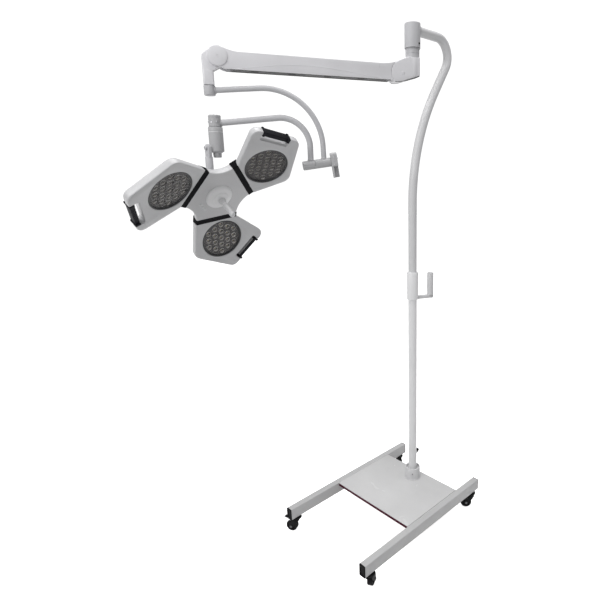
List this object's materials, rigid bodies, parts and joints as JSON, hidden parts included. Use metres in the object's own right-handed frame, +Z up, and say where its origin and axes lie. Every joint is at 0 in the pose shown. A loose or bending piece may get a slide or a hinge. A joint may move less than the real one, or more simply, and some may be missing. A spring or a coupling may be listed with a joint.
{
  "type": "surgical light",
  "caption": "Mobile surgical light on a four-caster H base: gooseneck pole, spring arm, two curved arms and a tilting three-petal LED head with a central handle",
  "frame": {"origin": "centre of the bounding box, on the floor under the casters", "axes": "+Z up; +Y along the base rails towards the pole end; +X across the base, to the right of someone looking along +Y"},
  "size_m": [0.7058, 1.2808, 2.085],
  "materials": {
    "white_paint": "satin powder coat",
    "white_casting": "satin paint on cast aluminium",
    "white_shell": "semi-gloss moulded",
    "lens": "clear window over dark LED board",
    "black_rubber": "matt",
    "black_plastic": "fine texture",
    "caster_tyre": "satin black nylon",
    "black_steel": "satin black",
    "maroon_paint": "satin",
    "bare_steel": "bright"
  },
  "bodies": {
    "base": {"left_rail": "white_paint", "right_rail": "white_paint", "end_plug_front_left": "black_plastic", "end_plug_rear_left": "black_plastic", "end_plug_front_right": "black_plastic", "end_plug_rear_right": "black_plastic", "base_plate": "white_paint", "ballast_plate": "maroon_paint", "pole_collar": "white_paint", "lower_pole": "white_paint", "pole_sleeve": "white_paint", "push_handle": "white_paint", "gooseneck": "white_paint", "cable_gland": "black_plastic", "hub_sleeve": "white_paint", "hub_bearing": "bare_steel", "hub_set_screw": "bare_steel"},
    "caster_front_left": {"caster_fork_front_left": "black_steel"},
    "wheel_front_left": {"caster_wheel_front_left": "caster_tyre"},
    "pedal_front_left": {"brake_pedal_front_left": "bare_steel"},
    "caster_front_right": {"caster_fork_front_right": "black_steel"},
    "wheel_front_right": {"caster_wheel_front_right": "caster_tyre"},
    "pedal_front_right": {"brake_pedal_front_right": "bare_steel"},
    "caster_rear_left": {"caster_fork_rear_left": "black_steel"},
    "wheel_rear_left": {"caster_wheel_rear_left": "caster_tyre"},
    "caster_rear_right": {"caster_fork_rear_right": "black_steel"},
    "wheel_rear_right": {"caster_wheel_rear_right": "caster_tyre"},
    "hub_arm": {"hub_bracket": "white_casting", "hub_pivot_pin": "bare_steel"},
    "spring_arm": {"arm_beam": "white_casting", "arm_bottom_cover": "black_plastic", "balance_spring": "bare_steel", "knuckle_pivot_pin": "white_casting", "pivot_cover": "white_casting"},
    "link": {"levelling_rod": "bare_steel"},
    "knuckle": {"knuckle": "white_casting"},
    "first_arm": {"first_curved_arm": "white_paint", "end_bracket": "white_paint"},
    "second_arm": {"second_curved_arm": "white_paint"},
    "swivel": {"swivel_housing": "white_casting", "tilt_bolt": "bare_steel"},
    "neck": {"neck": "white_paint"},
    "head": {"head_hub": "white_casting", "centre_dome": "white_shell", "petal_shell_1": "white_shell", "led_module_1": "lens", "grip_bar_1": "black_plastic", "rubber_band_1": "black_rubber", "petal_shell_2": "white_shell", "led_module_2": "lens", "grip_bar_2": "black_plastic", "rubber_band_2": "black_rubber", "petal_shell_3": "white_shell", "led_module_3": "lens", "grip_bar_3": "black_plastic", "rubber_band_3": "black_rubber"},
    "handle": {"sterile_handle": "white_shell"},
    "key_1": {"button_1": "white_shell"},
    "key_2": {"button_2": "white_shell"},
    "key_3": {"button_3": "white_shell"}
  },
  "joints": [
    {"name": "swivel_caster_front_left", "type": "hinge", "parent": "base", "child": "caster_front_left", "pos_m": [-0.12896, -0.1024, 0.075], "axis": [0, 0, 1], "continuous": true},
    {"name": "spin_wheel_front_left", "type": "hinge", "parent": "caster_front_left", "child": "wheel_front_left", "pos_m": [-0.14838, -0.11273, 0.025], "axis": [0.4695, -0.8829, 0], "continuous": true},
    {"name": "press_brake_front_left", "type": "hinge", "parent": "caster_front_left", "child": "pedal_front_left", "pos_m": [-0.15015, -0.11367, 0.056], "axis": [0.4695, -0.8829, 0], "range_deg": [0, 10]},
    {"name": "swivel_caster_front_right", "type": "hinge", "parent": "base", "child": "caster_front_right", "pos_m": [0.33104, -0.1024, 0.075], "axis": [0, 0, 1], "continuous": true},
    {"name": "spin_wheel_front_right", "type": "hinge", "parent": "caster_front_right", "child": "wheel_front_right", "pos_m": [0.32038, -0.08316, 0.025], "axis": [-0.8746, -0.4848, 0], "continuous": true},
    {"name": "press_brake_front_right", "type": "hinge", "parent": "caster_front_right", "child": "pedal_front_right", "pos_m": [0.31941, -0.08141, 0.056], "axis": [-0.8746, -0.4848, 0], "range_deg": [0, 10]},
    {"name": "swivel_caster_rear_left", "type": "hinge", "parent": "base", "child": "caster_rear_left", "pos_m": [-0.12896, 0.5496, 0.075], "axis": [0, 0, 1], "continuous": true},
    {"name": "spin_wheel_rear_left", "type": "hinge", "parent": "caster_rear_left", "child": "wheel_rear_left", "pos_m": [-0.14396, 0.56569, 0.025], "axis": [-0.7314, -0.682, 0], "continuous": true},
    {"name": "swivel_caster_rear_right", "type": "hinge", "parent": "base", "child": "caster_rear_right", "pos_m": [0.33104, 0.5496, 0.075], "axis": [0, 0, 1], "continuous": true},
    {"name": "spin_wheel_rear_right", "type": "hinge", "parent": "caster_rear_right", "child": "wheel_rear_right", "pos_m": [0.31522, 0.53432, 0.025], "axis": [0.6947, -0.7193, 0], "continuous": true},
    {"name": "turn_hub", "type": "hinge", "parent": "base", "child": "hub_arm", "pos_m": [0.10104, 0.4006, 1.992], "axis": [0, 0, 1], "range_deg": [-135, 135]},
    {"name": "tilt_spring_arm", "type": "hinge", "parent": "hub_arm", "child": "spring_arm", "pos_m": [0.07952, 0.35547, 1.9], "axis": [0.9026, -0.4305, 0], "range_deg": [-15, 45]},
    {"name": "follow_levelling_rod", "type": "hinge", "parent": "hub_arm", "child": "link", "pos_m": [0.07952, 0.35547, 1.883], "axis": [0.9026, -0.4305, 0], "range_deg": [-16, 46]},
    {"name": "level_knuckle", "type": "hinge", "parent": "spring_arm", "child": "knuckle", "pos_m": [-0.21134, -0.25432, 1.912], "axis": [0.9026, -0.4305, 0], "range_deg": [-46, 16]},
    {"name": "turn_first_arm", "type": "hinge", "parent": "knuckle", "child": "first_arm", "pos_m": [-0.22572, -0.28446, 1.82], "axis": [0, 0, 1], "range_deg": [-150, 150]},
    {"name": "roll_second_arm", "type": "hinge", "parent": "first_arm", "child": "second_arm", "pos_m": [-0.01812, -0.00392, 1.556], "axis": [0.589, 0.796, 0.1392], "range_deg": [-110, 110]},
    {"name": "turn_head", "type": "hinge", "parent": "second_arm", "child": "swivel", "pos_m": [-0.22096, -0.27803, 1.6837], "axis": [0, 0, 1], "range_deg": [-90, 90]},
    {"name": "tilt_neck", "type": "hinge", "parent": "swivel", "child": "neck", "pos_m": [-0.21906, -0.31198, 1.612], "axis": [-0.0558, 0.9984, 0], "range_deg": [-20, 60]},
    {"name": "tilt_head", "type": "hinge", "parent": "neck", "child": "head", "pos_m": [-0.21906, -0.31198, 1.4788], "axis": [-0.0558, 0.9984, 0], "range_deg": [-15, 50]},
    {"name": "pull_off_handle", "type": "slide", "parent": "head", "child": "handle", "axis": [0.7953, 0.0445, -0.6046], "range_m": [0, 0.05]},
    {"name": "press_button_1", "type": "slide", "parent": "head", "child": "key_1", "axis": [-0.7953, -0.0445, 0.6046], "range_m": [0, 0.0012], "stiffness_N_per_m": 300},
    {"name": "press_button_2", "type": "slide", "parent": "head", "child": "key_2", "axis": [-0.7953, -0.0445, 0.6046], "range_m": [0, 0.0012], "stiffness_N_per_m": 300},
    {"name": "press_button_3", "type": "slide", "parent": "head", "child": "key_3", "axis": [-0.7953, -0.0445, 0.6046], "range_m": [0, 0.0012], "stiffness_N_per_m": 300}
  ],
  "couplings": [
    {"joint": "follow_levelling_rod", "follows": "tilt_spring_arm", "ratio": 1},
    {"joint": "level_knuckle", "follows": "tilt_spring_arm", "ratio": -1}
  ]
}
